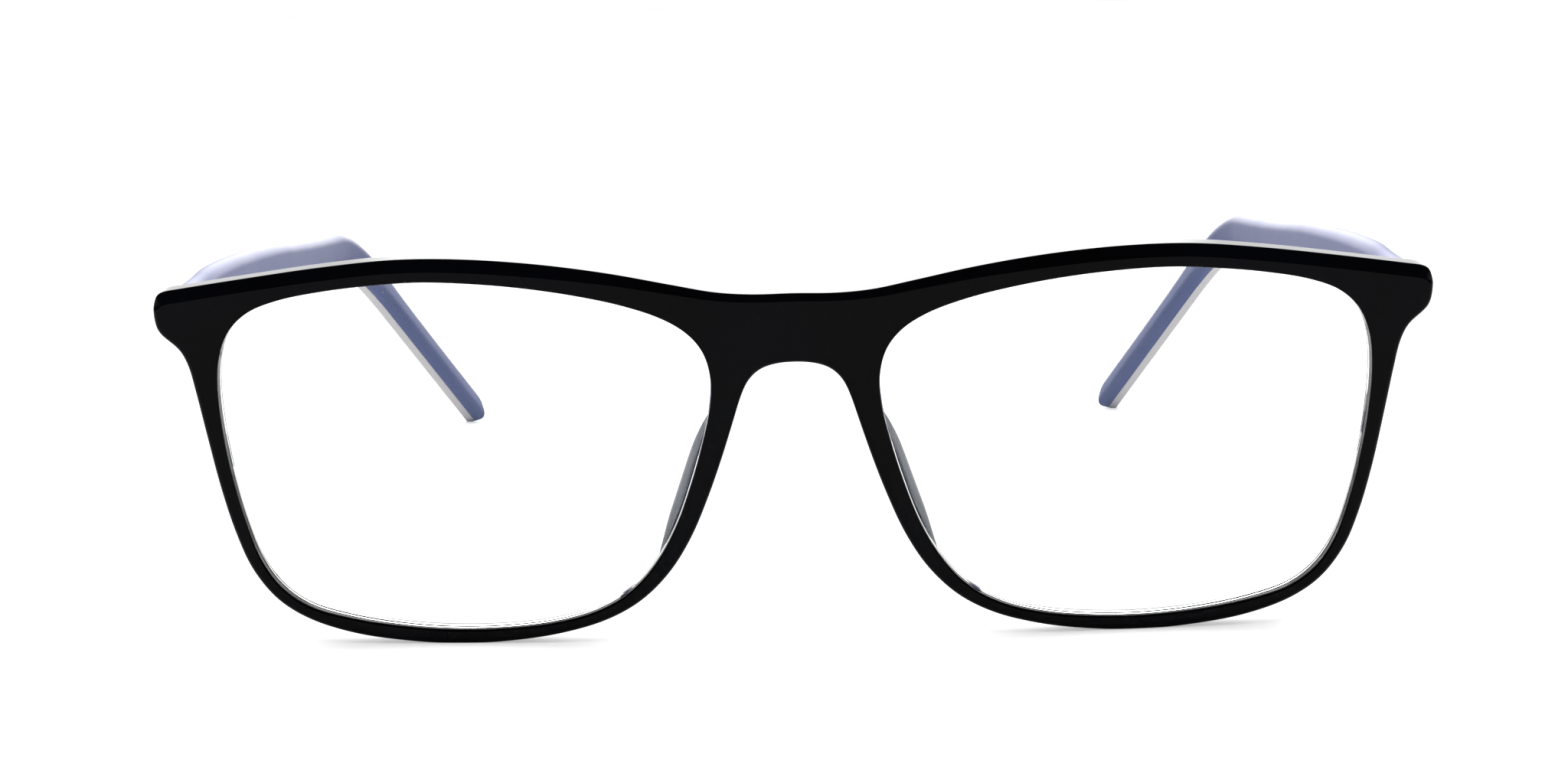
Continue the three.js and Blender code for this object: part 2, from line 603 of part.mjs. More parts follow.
function templeOuter() {
  return cutBy(layer(SEAM + LAYER_GAP, -INNER_FACE, -INNER_FACE), [FLOOR]);
}

function coreWire() {
  return sweep(evenSteps(WIRE_START, TEMPLE_LENGTH - WIRE_END, WIRE_STEPS),
    bar(SEAM - WIRE_THICK - WIRE_DEPTH, SEAM - WIRE_DEPTH, WIRE_HALF));
}

function finish(color, roughness, metalness = 0) {
  return new THREE.MeshStandardMaterial({ color, roughness, metalness });
}

const BLACK = finish(0x0b0b10, 0.08);
const CLEAR = finish(0xf4f8fa, 0.02);
const BLUE = finish(0x4a5a94, 0.45);
const PALE = finish(0xc9c8ca, 0.4);
const STEEL = finish(0xb9bcc0, 0.3, 1);

const group = new THREE.Group();

function add(parent, name, geometry, material) {
  const piece = new THREE.Mesh(geometry, material);
  piece.name = name;
  parent.add(piece);
}

add(group, 'front_frame', frontFrame(), BLACK);
for (const [side, scale] of [['right', 1], ['left', -1]]) {
  const half = new THREE.Group();
  half.scale.x = scale;
  add(half, `${side}_lens`, lensBody(), CLEAR);
  add(half, `${side}_nose_pad`, padBody(), BLACK);
  add(half, `${side}_temple_inner_layer`, templeInner(), BLUE);
  add(half, `${side}_temple_outer_layer`, templeOuter(), PALE);
  add(half, `${side}_core_wire`, coreWire(), STEEL);
  add(half, `${side}_front_hinge_leaf`, frontLeaf(), STEEL);
  add(half, `${side}_temple_hinge_leaf`, templeLeaf(), STEEL);
  add(half, `${side}_hinge_screw`, hingeScrew(), STEEL);
  for (const [place, i] of [['lower', 0], ['upper', 1]]) {
    const screw = fixingScrew(FRONT_LEAF_SCREWS[i], FRONT_SCREW_AXES);
    add(half, `${side}_front_leaf_screw_${place}`, screw, STEEL);
  }
  for (const [place, i] of [['front', 0], ['rear', 1]]) {
    const screw = fixingScrew(TEMPLE_LEAF_SCREWS[i], TEMPLE_SCREW_AXES);
    add(half, `${side}_temple_leaf_screw_${place}`, screw, STEEL);
  }
  group.add(half);
}

export default group;
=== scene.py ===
"""Black full-rim glasses with clear lenses and two-layer temples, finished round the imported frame.

Shapes are worked out in millimetres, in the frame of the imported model, and turned into metres when a
piece is made. The right side is built and mirrored for the left one.
"""

import json
import math

import bmesh
import bpy
import numpy as np
from mathutils import Matrix, Vector
from mathutils.geometry import delaunay_2d_cdt


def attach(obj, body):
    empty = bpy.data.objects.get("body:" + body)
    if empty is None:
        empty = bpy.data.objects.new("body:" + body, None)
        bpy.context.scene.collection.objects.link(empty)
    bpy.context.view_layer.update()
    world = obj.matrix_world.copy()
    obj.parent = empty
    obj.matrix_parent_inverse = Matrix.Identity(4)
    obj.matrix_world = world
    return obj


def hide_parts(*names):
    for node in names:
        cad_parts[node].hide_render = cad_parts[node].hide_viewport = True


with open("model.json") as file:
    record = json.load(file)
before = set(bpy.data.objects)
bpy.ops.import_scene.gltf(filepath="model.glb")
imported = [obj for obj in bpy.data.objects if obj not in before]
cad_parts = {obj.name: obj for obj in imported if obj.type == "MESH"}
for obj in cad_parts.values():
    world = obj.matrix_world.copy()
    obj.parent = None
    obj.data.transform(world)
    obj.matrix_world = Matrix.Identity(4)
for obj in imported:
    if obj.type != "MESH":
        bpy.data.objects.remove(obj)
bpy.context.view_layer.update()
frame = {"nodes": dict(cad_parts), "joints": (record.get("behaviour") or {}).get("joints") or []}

# ------------------------------------------------------------------ driving dimensions, millimetres

MM = 0.001
SIDES = {"right": 1, "left": -1}
HINGE = {joint["name"]: joint for joint in frame["joints"]}["right_temple_fold"]
PIVOT = Vector(HINGE["pos_m"]) / MM
HINGE_AXIS = Vector(HINGE["axis"])
PIVOT_BEHIND_FEET = 7.5572
FEET_Y = PIVOT.y - PIVOT_BEHIND_FEET

FRONT_LEAN = math.radians(5)
FRONT_THICK = 4
RIM_THICK = 3.2
WRAP_RADIUS = 600
TAPER_HEIGHTS = (8, 34)            # the rims are at their thinnest below, and at full thickness above
FOOT_CUT = 0.3
EDGE_ROUND = 0.4
EDGE_FILLET = 0.64
CHAMFER_FILLET = 0.2
CHAMFER_FROM = (38.4, 39.5)        # heights between which the brow's chamfer sets in
BROW_CHAMFER = 1.2
BRIDGE_CHAMFER = 0.7
CHAMFER_WIDENS = (4, 30)           # from the middle outwards
OPENING_ROUND = 0.3
FACE_GRID = 1.6

LENS_CENTRE = np.array([36.2, 21.6])
LENS_RADIUS = 260
LENS_THICK = 1.8
LENS_REACH = 0.6
LENS_SEAT = 0.06                   # air between the lens and the rim's lips
LENS_BEVEL_ROOT = 1
LENS_BEVEL_TIP = 0.2
GROOVE_DEPTH = 0.9
GROOVE_WIDTH = 1.3
GROOVE_W = 0.68

TEMPLE_THICK = 3.2
TEMPLE_INNER_THICK = 1.75
LAYER_GAP = 0.02
TEMPLE_SLOPE = math.radians(3.2)
TEMPLE_X = 67.8
TEMPLE_START = 8.35
TEMPLE_CENTRE_V = 37.45
BEND_Y = 113.4
BEND_EASE = 13
TIP = (52.1, 137.9, 1.2)
TIP_ROUND = 2.4
TIP_BLUNT = 0.35                   # share of the height that is left at the very end
END_FILLET = 0.16
BUTT_LENGTH = 4                    # the front end turns square to the bar over this length
DENSE_FROM = 105                   # closer rings along the drop
DENSE_TO = 132
TEMPLE_FILLET = 0.42
INNER_FILLET = 1.4
SEAM_FILLET = 0.04

PIVOT_BEHIND = 3
KNUCKLE_R = 1.45
KNUCKLE_H = 1.3
KNUCKLE_PITCH = 1.38
BORE_R = 0.76
SCREW_R = 0.68
HEAD_R = 1.15
HEAD_H = 0.6
SLOT = 0.3
LEAF_THICK = 0.8
LEAF_X = 65.75
LEAF_HALF_WIDTH = 2.6
LEAF_HALF_HEIGHT = 2.05
LEAF_PROUD = 0.15
LEAF_START = 1.7
LEAF_LENGTH = 10.5
TEMPLE_LEAF_HALF = 1.65
WEB_FRONT = 0.7
FIT = 0.15
POCKET_ROUND = 0.25
POCKET_FLOOR = 0.1
EAR_HALF_WIDTH = 1.1
HEAD_GAP = 0.05
FIX_HEAD_R = 0.72
FIX_HEAD_H = 0.3
FIX_SHANK_R = 0.42
FIX_LENGTH = 1.55
FIX_SLOT_HALF = 0.12
FIX_SLOT_DEPTH = 0.18
FRONT_SCREW_IN = 1.05
FRONT_SCREW_APART = 1.15
TEMPLE_SCREW_IN = (4.2, 9.1)
LAYER_HOLES = (0.12, 0.1)          # air round a fixing screw and under its head, in the acetate
LEAF_HOLES = (0.06, 0.05)          # and in the leaf
UNDER_SHANK = 0.2
LEAF_BEVEL = 0.09
KNUCKLE_BEVEL = 0.1
TOOL_OUT = 1                       # how far a cutting tool stands out of the surface
SHARP_ANGLE = math.radians(38)
BEVEL_ANGLE = math.radians(35)

# right half of the front's outline: x from the middle, v up from the rim feet
OUTLINE_HALF = [
    (0, 39.6), (4.5, 39.55), (8.5, 39.85), (13, 40.7), (20, 42.05), (28, 43.15), (36, 43.75), (43, 43.75),
    (51, 42.97), (60, 41.68), (67.4, 40.5), (69, 40.22), (69.68, 39.85), (69.86, 39.1), (69.84, 37),
    (69.5, 35.85), (68.5, 34.9), (67.35, 33.9), (66.5, 32.1), (65.9, 29.2), (65, 24), (63.9, 18),
    (62.6, 12.8), (61, 8.6), (58.4, 5.1), (55, 2.85), (50, 1.2), (44, 0.32), (38, 0), (32, 0.35), (26.5, 1.2),
    (21.5, 2.7), (17.6, 4.9), (14.3, 8.2), (11.8, 12.2), (9.8, 16.8), (8.2, 21.2), (6.9, 25.2),
    (5.9, 28.3), (5.1, 30), (3.8, 31.25), (2, 31.85), (0, 32),
]
# lens opening on the right
OPENING = [
    (41, 41.4), (46, 41.05), (51, 40.45), (56, 39.45), (59.4, 38.1), (61.6, 36.05), (62.85, 33.2),
    (63.3, 29.5), (63.05, 24.2), (62.35, 19.2), (61.3, 14.3), (59.8, 9.7), (57.75, 6.6), (54.8, 4.45),
    (50, 3.05), (44, 2.15), (38, 1.8), (32, 2), (27, 2.62), (22.5, 3.9), (18.8, 6.05), (15.8, 9.4),
    (13.5, 13.5), (11.7, 18.3), (10.3, 23), (9.35, 27.2), (9.2, 30.4), (9.95, 33.3), (11.6, 35.4),
    (14.3, 37.1), (18.5, 38.6), (24, 39.85), (30, 40.76), (36, 41.28),
]
# upper and lower edge of the temple over its centre line, against the distance from its front end
TEMPLE_EDGES = [
    (0, 2.5, -2.5), (6, 3.05, -2.65), (12, 3.8, -2.75), (26, 4.3, -2.85), (50, 4.2, -2.8), (62, 3.75, -2.45),
    (78, 3.3, -2.1), (98, 3, -1.9), (112, 2.8, -1.8), (124, 2.25, -1.8), (170, 2.2, -1.8),
]
# back of the nasal rim, from low to high, and the share of the pad's full height there
PAD_LINE = [
    (15.2, 8.2, 0.1), (14.1, 9.9, 0.5), (13.05, 11.9, 0.8), (12.1, 14, 0.96), (11.15, 16.6, 1),
    (10.3, 19.2, 0.95), (9.5, 21.8, 0.8), (8.8, 24.2, 0.5), (8.3, 26, 0.1),
]
PAD_HEIGHT = 5.2
PAD_HALF_WIDTH = 1.25
PAD_FLARE = 0.22
PAD_GAP = 0.25

# ------------------------------------------------------------------ numbers


def smoothstep(value, low, high):
    share = np.clip((np.asarray(value, float) - low) / (high - low), 0, 1)
    return share * share * (3 - 2 * share)


def mix(a, b, share):
    return a + (b - a) * share


def unit(vectors):
    return vectors / np.linalg.norm(vectors, axis=-1, keepdims=True)


def evenly(points, count, closed=True):
    """Evenly spaced points along a polyline."""
    line = np.vstack([points, points[:1]]) if closed else points
    length = np.concatenate([[0], np.cumsum(np.linalg.norm(np.diff(line, axis=0), axis=1))])
    at = np.linspace(0, length[-1], count, endpoint=not closed)
    return np.stack([np.interp(at, length, line[:, k]) for k in range(line.shape[1])], 1)


def spline(points, closed=True, steps=24):
    """A centripetal Catmull-Rom curve through the points."""
    points = np.asarray(points, float)
    if not closed:
        first, last = 2 * points[0] - points[1], 2 * points[-1] - points[-2]
        points = np.vstack([first, points, last])
    count = len(points)
    spans = range(count) if closed else range(1, count - 2)
    t = np.linspace(0, 1, steps, endpoint=False)[:, None]
    fine = []
    for i in spans:
        p0, p1, p2, p3 = (points[(i + k) % count] for k in (-1, 0, 1, 2))
        d0, d1, d2 = (math.sqrt(np.linalg.norm(b - a)) for a, b in ((p0, p1), (p1, p2), (p2, p3)))
        t1 = ((p1 - p0) / d0 - (p2 - p0) / (d0 + d1) + (p2 - p1) / d1) * d1
        t2 = ((p2 - p1) / d1 - (p3 - p1) / (d1 + d2) + (p3 - p2) / d2) * d1
        fine.append(p1 + t1 * t + (3 * (p2 - p1) - 2 * t1 - t2) * t**2 + (2 * (p1 - p2) + t1 + t2) * t**3)
    if not closed:
        fine.append(points[-2:-1])
    return np.concatenate(fine)


def relaxed(loop, passes):
    for _ in range(passes):
        loop = loop / 2 + (np.roll(loop, 1, axis=0) + np.roll(loop, -1, axis=0)) / 4
    return loop


def sideways(loop):
    """Unit vectors that point out of a clockwise loop."""
    along = unit(np.roll(loop, -1, axis=0) - np.roll(loop, 1, axis=0))
    return np.stack([-along[:, 1], along[:, 0]], 1)


def inside(points, loop):
    """True for each point that lies inside the closed loop."""
    result = np.zeros(len(points), bool)
    for a, b in zip(loop, np.roll(loop, -1, axis=0)):
        spans = (a[1] > points[:, 1]) != (b[1] > points[:, 1])
        if spans.any():
            cross = (b[0] - a[0]) * (points[:, 1] - a[1]) / (b[1] - a[1] + 1e-12) + a[0]
            result ^= spans & (points[:, 0] < cross)
    return result


def fillet(corner, before, after, radius, steps):
    """Points of the arc that rounds a corner between the directions towards its two neighbours."""
    before, after = unit(np.asarray(before, float)), unit(np.asarray(after, float))
    half = math.acos(np.clip(before @ after, -1, 1)) / 2
    tangent = radius / math.tan(half)
    centre = corner + unit(before + after) * radius / math.sin(half)
    first, last = corner + before * tangent - centre, corner + after * tangent - centre
    turn = math.pi - 2 * half
    arc = []
    for share in np.linspace(0, 1, steps + 1):
        arc.append(centre + (math.sin((1 - share) * turn) * first + math.sin(share * turn) * last)
                   / math.sin(turn))
    return arc


# ------------------------------------------------------------------ meshes


class Shell:
    """A closed mesh made of rings of points, in millimetres."""

    def __init__(self):
        self.blocks, self.faces, self.count = [], [], 0

    def ring(self, points):
        points = np.asarray(points, float).reshape(-1, 3)
        first = self.count
        self.blocks.append(points)
        self.count += len(points)
        return np.arange(first, self.count)

    def wall(self, a, b, slot=0):
        quads = np.stack([a, b, np.roll(b, -1), np.roll(a, -1)], 1)
        self.faces += [(face, slot) for face in quads.tolist()]

    def walls(self, rings, slot=0):
        for a, b in zip(rings, rings[1:]):
            self.wall(a, b, slot)

    def cover(self, ring):
        """Closes a ring with a fan."""
        points = np.concatenate(self.blocks)
        middle = self.ring(points[ring].mean(0))[0]
        self.faces += [([a, b, middle], 0) for a, b in zip(ring.tolist(), np.roll(ring, -1).tolist())]

    def sheet(self, outer, holes, spacing, depth):
        """Fills the face between an outer ring and its holes with triangles of an even size."""
        points = np.concatenate(self.blocks)
        loops = [points[ring][:, :2] for ring in [outer, *holes]]
        low, high = loops[0].min(0), loops[0].max(0)
        grid = np.stack(np.meshgrid(np.arange(low[0], high[0], spacing),
                                    np.arange(low[1], high[1], spacing)), -1).reshape(-1, 2)
        shrunk = loops[0] - sideways(loops[0]) * spacing * 0.45
        keep = inside(grid, shrunk)
        for loop in loops[1:]:
            keep &= ~inside(grid, loop + sideways(loop) * spacing * 0.45)
        grid = grid[keep]
        added = self.ring(np.column_stack([grid, depth(grid)]))
        numbers = np.concatenate([outer, *holes, added])
        flat = np.concatenate([*loops, grid])
        edges, first = [], 0
        for loop in loops:
            edges += [(first + i, first + (i + 1) % len(loop)) for i in range(len(loop))]
            first += len(loop)
        verts, _, faces, origin, _, _ = delaunay_2d_cdt([Vector(p) for p in flat], edges, [], 0, 1e-7)
        faces = np.array(faces)
        centres = np.array([tuple(p) for p in verts])[faces].mean(1)
        solid = inside(centres, loops[0])
        for loop in loops[1:]:
            solid &= ~inside(centres, loop)
        source = np.array([origin[i][0] for i in range(len(verts))])
        self.faces += [(numbers[source[face]].tolist(), 0) for face in faces[solid]]

    def make(self, name, place=None):
        points = np.concatenate(self.blocks)
        mesh = bpy.data.meshes.new(name)
        mesh.from_pydata(place(points) if place else points, [], [face for face, _ in self.faces])
        mesh.polygons.foreach_set("material_index", [slot for _, slot in self.faces])
        return mesh_object(name, mesh)


def mesh_object(name, mesh):
    work = bmesh.new()
    work.from_mesh(mesh)
    bmesh.ops.remove_doubles(work, verts=work.verts, dist=1e-5)
    bmesh.ops.recalc_face_normals(work, faces=work.faces)
    work.to_mesh(mesh)
    work.free()
    piece = bpy.data.objects.new(name, mesh)
    bpy.context.scene.collection.objects.link(piece)
    return piece


def apply_modifiers(piece):
    bpy.context.view_layer.update()
    evaluated = piece.evaluated_get(bpy.context.evaluated_depsgraph_get())
    mesh = bpy.data.meshes.new_from_object(evaluated)
    piece.modifiers.clear()
    piece.data = mesh
    return piece


def combined(base, operation, tools):
    """The base joined with or cut by the tools, which are used up."""
    for tool in tools:
        boolean = base.modifiers.new("boolean", "BOOLEAN")
        boolean.operation, boolean.solver, boolean.object = operation, "EXACT", tool
    apply_modifiers(base)
    for tool in tools:
        bpy.data.objects.remove(tool)
    return base


def as_one(pieces):
    """Several separate solids as one object."""
    work = bmesh.new()
    for piece in pieces:
        work.from_mesh(piece.data)
    mesh = bpy.data.meshes.new("tools")
    work.to_mesh(mesh)
    work.free()
    for piece in pieces:
        bpy.data.objects.remove(piece)
    return mesh_object("tools", mesh)


def placed(at, axes):
    return Matrix.Translation(at) @ Matrix(axes).transposed().to_4x4()


def block(at, axes, x_range, y_range, z_range):
    """A box with its own axes."""
    spans = (x_range, y_range, z_range)
    middle = Vector([(low + high) / 2 for low, high in spans])
    size = Matrix.Diagonal([high - low for low, high in spans]).to_4x4()
    work = bmesh.new()
    bmesh.ops.create_cube(work, size=1, matrix=placed(at, axes) @ Matrix.Translation(middle) @ size)
    mesh = bpy.data.meshes.new("block")
    work.to_mesh(mesh)
    work.free()
    return mesh_object("block", mesh)


def pin(at, axes, radius, z_range, sides=48):
    """A round bar along the last of its axes."""
    middle = Vector((0, 0, sum(z_range) / 2))
    work = bmesh.new()
    matrix = placed(at, axes) @ Matrix.Translation(middle)
    bmesh.ops.create_cone(work, cap_ends=True, segments=sides, radius1=radius, radius2=radius,
                          depth=z_range[1] - z_range[0], matrix=matrix)
    mesh = bpy.data.meshes.new("pin")
    work.to_mesh(mesh)
    work.free()
    return mesh_object("pin", mesh)


def mirrored(piece, name):
    twin = bpy.data.objects.new(name, piece.data.copy())
    bpy.context.scene.collection.objects.link(twin)
    twin.data.transform(Matrix.Diagonal((-1, 1, 1, 1)))
    twin.data.flip_normals()
    return twin


def both_sides(tool):
    """A tool of the right side and its mirror image, as one."""
    return as_one([tool, mirrored(tool, tool.name)])


def screw_holes(places, axes, air):
    """Tools for countersunk holes: the heads as one and the shanks as one."""
    around, under_head = air
    heads = [pin(at, axes, FIX_HEAD_R + around, (-FIX_HEAD_H - under_head, TOOL_OUT)) for at in places]
    shanks = [pin(at, axes, FIX_SHANK_R + around, (-FIX_LENGTH - UNDER_SHANK, TOOL_OUT)) for at in places]
    return [as_one(heads), as_one(shanks)]


def softened(piece, width, segments=2):
    """Small bevels on the hard edges."""
    bevel = piece.modifiers.new("bevel", "BEVEL")
    bevel.width, bevel.segments, bevel.limit_method = width, segments, "ANGLE"
    bevel.angle_limit = BEVEL_ANGLE
    bevel.use_clamp_overlap = True
    return apply_modifiers(piece)


def finished(piece, body, node_name, materials):
    """Turns a piece into metres, gives it its materials and its place on a body of the frame."""
    piece.data.transform(Matrix.Scale(MM, 4))
    piece.data.materials.clear()
    for material in materials:
        piece.data.materials.append(material)
    piece.data.shade_smooth()
    piece.data.set_sharp_from_angle(angle=SHARP_ANGLE)
    weighted = piece.modifiers.new("normals", "WEIGHTED_NORMAL")
    weighted.keep_sharp, weighted.weight = True, 50
    apply_modifiers(piece)
    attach(piece, body)
    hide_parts(node_name)
    return piece


# ------------------------------------------------------------------ materials


def principled(name, **values):
    material = bpy.data.materials.new(name)
    material.use_nodes = True
    shader = material.node_tree.nodes["Principled BSDF"]
    for key, value in values.items():
        shader.inputs[key.replace("_", " ")].default_value = value
    return material, material.node_tree, shader


def node(tree, kind, inputs=None, **settings):
    made = tree.nodes.new(kind)
    for key, value in settings.items():
        setattr(made, key, value)
    for key, value in (inputs or {}).items():
        if isinstance(value, bpy.types.NodeSocket):
            tree.links.new(value, made.inputs[key])
        else:
            made.inputs[key].default_value = value
    return made


def noise(tree, scale, detail=3, roughness=0.5):
    where = node(tree, "ShaderNodeTexCoord").outputs["Object"]
    return node(tree, "ShaderNodeTexNoise",
                {"Vector": where, "Scale": scale, "Detail": detail, "Roughness": roughness}).outputs["Fac"]


def ramp(tree, value, low, high, at=(0, 1)):
    """Maps a value to the range low to high, as it goes between the two stops."""
    return node(tree, "ShaderNodeMapRange", {"Value": value, "From Min": at[0], "From Max": at[1],
                                             "To Min": low, "To Max": high}).outputs["Result"]


def math_node(tree, operation, a, b):
    return node(tree, "ShaderNodeMath", {0: a, 1: b}, operation=operation).outputs[0]


def blend_colours(tree, share, a, b):
    return node(tree, "ShaderNodeMix", {0: share, 6: a, 7: b}, data_type="RGBA").outputs[2]


def bump(tree, shader, height, distance, strength=1.0):
    relief = node(tree, "ShaderNodeBump", {"Height": height, "Distance": distance, "Strength": strength})
    tree.links.new(relief.outputs["Normal"], shader.inputs["Normal"])


def specks(tree, spacing, radius):
    """1 on small specks of dust that are about spacing apart, in metres, and 0 between them."""
    where = node(tree, "ShaderNodeTexCoord").outputs["Object"]
    cells = node(tree, "ShaderNodeTexVoronoi", {"Vector": where, "Scale": 1 / spacing})
    wobble = ramp(tree, noise(tree, 2500, 2), 0.4, 1.6)
    size = math_node(tree, "MULTIPLY", wobble, radius / spacing)
    near = math_node(tree, "SUBTRACT", size, cells.outputs["Distance"])
    return ramp(tree, near, 0, 1, (0, 0.25 * radius / spacing))


def black_acetate():
    """Polished black, with smears, a slight swell of the surface and a little dust."""
    material, tree, shader = principled("black_acetate", IOR=1.49, Specular_IOR_Level=0.075)
    dust = specks(tree, 0.0055, 0.00007)
    cast = ramp(tree, noise(tree, 60, 2), 0, 1, (0.35, 0.65))
    body = blend_colours(tree, cast, (0.0010, 0.0010, 0.0016, 1), (0.0015, 0.0018, 0.0034, 1))
    colour = blend_colours(tree, dust, body, (0.35, 0.35, 0.36, 1))
    tree.links.new(colour, shader.inputs["Base Color"])
    smear = ramp(tree, noise(tree, 45, 5, 0.62), 0.035, 0.10, (0.38, 0.68))
    rough = math_node(tree, "MAXIMUM", smear, math_node(tree, "MULTIPLY", dust, 0.6))
    tree.links.new(rough, shader.inputs["Roughness"])
    swell = math_node(tree, "MULTIPLY", noise(tree, 130, 2), 0.8)
    relief = math_node(tree, "ADD", swell, math_node(tree, "MULTIPLY", dust, 3))
    bump(tree, shader, relief, 0.000012)
    return material


def clear_lens():
    """Clear and almost colourless, with a bluish reflection from its coating."""
    material, tree, shader = principled(
        "clear_lens", Transmission_Weight=1.0, IOR=1.5, Specular_Tint=(0.62, 0.74, 1, 1))
    tint = ramp(tree, noise(tree, 25, 2), 0, 1, (0.3, 0.7))
    colour = blend_colours(tree, tint, (0.992, 0.996, 0.994, 1), (0.984, 0.992, 0.990, 1))
    tree.links.new(colour, shader.inputs["Base Color"])
    tree.links.new(ramp(tree, noise(tree, 90, 4), 0, 0.012, (0.45, 0.7)), shader.inputs["Roughness"])
    return material


def ground_edge():
    """The front half of the lens's ground edge: frosted and pale against the black rim."""
    material, tree, shader = principled("ground_edge", Transmission_Weight=0.8, IOR=1.5)
    bands = ramp(tree, noise(tree, 70, 2), 0, 1, (0.4, 0.62))
    colour = blend_colours(tree, bands, (0.80, 0.84, 0.82, 1), (0.60, 0.70, 0.67, 1))
    tree.links.new(colour, shader.inputs["Base Color"])
    tree.links.new(ramp(tree, noise(tree, 900, 3), 0.12, 0.34), shader.inputs["Roughness"])
    bump(tree, shader, noise(tree, 3200, 3), 0.00001)
    return material


def satin_layer(name, near, far, rough):
    """Satin acetate with faint clouds, fine tumbling marks and a little dust; its colour runs from near at
    the front end to far at the bend, and on the blue layer that is a painted sheen, lighter near the hinge.
    """
    material, tree, shader = principled(name, IOR=1.49, Specular_IOR_Level=0.3)
    where = node(tree, "ShaderNodeTexCoord").outputs["Object"]
    behind = node(tree, "ShaderNodeSeparateXYZ", {0: where}).outputs["Y"]
    # painted sheen: the base colour blends from near at the front end to far at the bend, so the blue layer
    # is lighter towards the hinge
    along = ramp(tree, behind, 0, 1, [(FEET_Y + y) * MM for y in (15, BEND_Y)])
    clouds = ramp(tree, noise(tree, 40, 2), -0.06, 0.06, (0.3, 0.7))
    body = blend_colours(tree, math_node(tree, "ADD", along, clouds), (*near, 1), (*far, 1))
    dust = specks(tree, 0.004, 0.00007)
    colour = blend_colours(tree, dust, body, (0.6, 0.6, 0.62, 1))
    tree.links.new(colour, shader.inputs["Base Color"])
    tree.links.new(ramp(tree, noise(tree, 160, 2), rough - 0.01, rough + 0.02, (0.3, 0.7)),
                   shader.inputs["Roughness"])
    bump(tree, shader, math_node(tree, "ADD", noise(tree, 700, 2), math_node(tree, "MULTIPLY", dust, 3)),
         0.000003)
    return material


def steel():
    """Brushed steel, with scratches that run across the glasses."""
    material, tree, shader = principled("hinge_steel", Metallic=1.0)
    where = node(tree, "ShaderNodeTexCoord").outputs["Object"]
    stretched = node(tree, "ShaderNodeMapping", {"Vector": where, "Scale": (60, 900, 900)}).outputs[0]
    lines = node(tree, "ShaderNodeTexNoise", {"Vector": stretched, "Scale": 6, "Detail": 4}).outputs["Fac"]
    colour = blend_colours(tree, ramp(tree, noise(tree, 500, 3), 0, 1, (0.3, 0.7)),
                           (0.60, 0.61, 0.63, 1), (0.45, 0.46, 0.48, 1))
    tree.links.new(colour, shader.inputs["Base Color"])
    tree.links.new(ramp(tree, lines, 0.2, 0.42, (0.3, 0.7)), shader.inputs["Roughness"])
    bump(tree, shader, lines, 0.000006)
    return material


BLACK = black_acetate()
CLEAR = clear_lens()
GROUND = ground_edge()
# the blue layer's near colour carries a painted sheen, lighter towards the hinge; its far colour is close to
# the acetate's own blue
BLUE = satin_layer("blue_layer", (0.130, 0.150, 0.330), (0.040, 0.058, 0.200), 0.4)
PALE = satin_layer("pale_layer", (0.60, 0.58, 0.59), (0.64, 0.62, 0.62), 0.36)
STEEL = steel()

# ------------------------------------------------------------------ front

UP = Vector((0, -math.sin(FRONT_LEAN), math.cos(FRONT_LEAN)))
BACK = Vector((0, math.cos(FRONT_LEAN), math.sin(FRONT_LEAN)))
OUTWARD = Vector((1, 0, 0))


def on_front(points):
    """x, height v and depth w of the front, which is bent round the face, to the object's frame."""
    points = np.asarray(points, float).reshape(-1, 3)
    depth = points[:, 2] + points[:, 0] ** 2 / (2 * WRAP_RADIUS)
    rise = points[:, 1] - FOOT_CUT
    return np.stack([points[:, 0], FEET_Y + rise * UP.y + depth * BACK.y, rise * UP.z + depth * BACK.z], 1)


def front_point(x, v, w):
    return Vector(on_front([x, v, w])[0])


def groove_depth(points):
    spread = np.abs(points[:, 0]) - LENS_CENTRE[0]
    return GROOVE_W + (spread**2 + (points[:, 1] - LENS_CENTRE[1]) ** 2) / (2 * LENS_RADIUS)


def thickness(points):
    return mix(RIM_THICK, FRONT_THICK, smoothstep(points[:, 1], *TAPER_HEIGHTS))


def swept_rings(shell, loop, profiles):
    """One ring for each point of the profiles, which hold an offset out of the loop and a depth."""
    normals = sideways(loop)
    profiles = np.asarray(profiles, float)
    rings = []
    for k in range(profiles.shape[1]):
        flat = loop + normals * profiles[:, k, :1]
        rings.append(shell.ring(np.column_stack([flat, profiles[:, k, 1]])))
    return rings


def outer_profile(chamfer, fillet_radius, thick):
    """Front face, chamfer, side and rounded back edge, as offset and depth."""
    back = EDGE_ROUND
    corners = [(-chamfer, 0), (0, chamfer), (0, thick - back), (-back, thick)]
    radii = [fillet_radius, fillet_radius, EDGE_FILLET, EDGE_FILLET]
    ends = [(-chamfer - 1, 0), *corners, (-back - 1, thick)]
    arcs = []
    for i, (corner, radius) in enumerate(zip(corners, radii)):
        corner = np.array(corner, float)
        arcs += fillet(corner, np.array(ends[i]) - corner, np.array(ends[i + 2]) - corner, radius, 4)
    return arcs


def opening_profile(groove, thick):
    """Front face, rounded edge, lens groove and rounded back edge; offsets go into the material."""
    edge = OPENING_ROUND
    front = fillet(np.array([0.0, 0.0]), (1, 0), (0, 1), edge, 5)
    back = fillet(np.array([0.0, thick]), (0, -1), (1, 0), edge, 5)
    low, high = groove - GROOVE_WIDTH / 2, groove + GROOVE_WIDTH / 2
    middle = [(0, low), (GROOVE_DEPTH, low), (GROOVE_DEPTH, high), (0, high)]
    return [*front, *[np.array(p, float) for p in middle], *back]


OUTER_LOOP = relaxed(evenly(spline(
    OUTLINE_HALF + [(-x, v) for x, v in OUTLINE_HALF[-2:0:-1]]), 900), 3)
OPENING_RIGHT = relaxed(evenly(spline(OPENING), 360), 3)
OPENING_LEFT = OPENING_RIGHT[::-1] * (-1, 1)


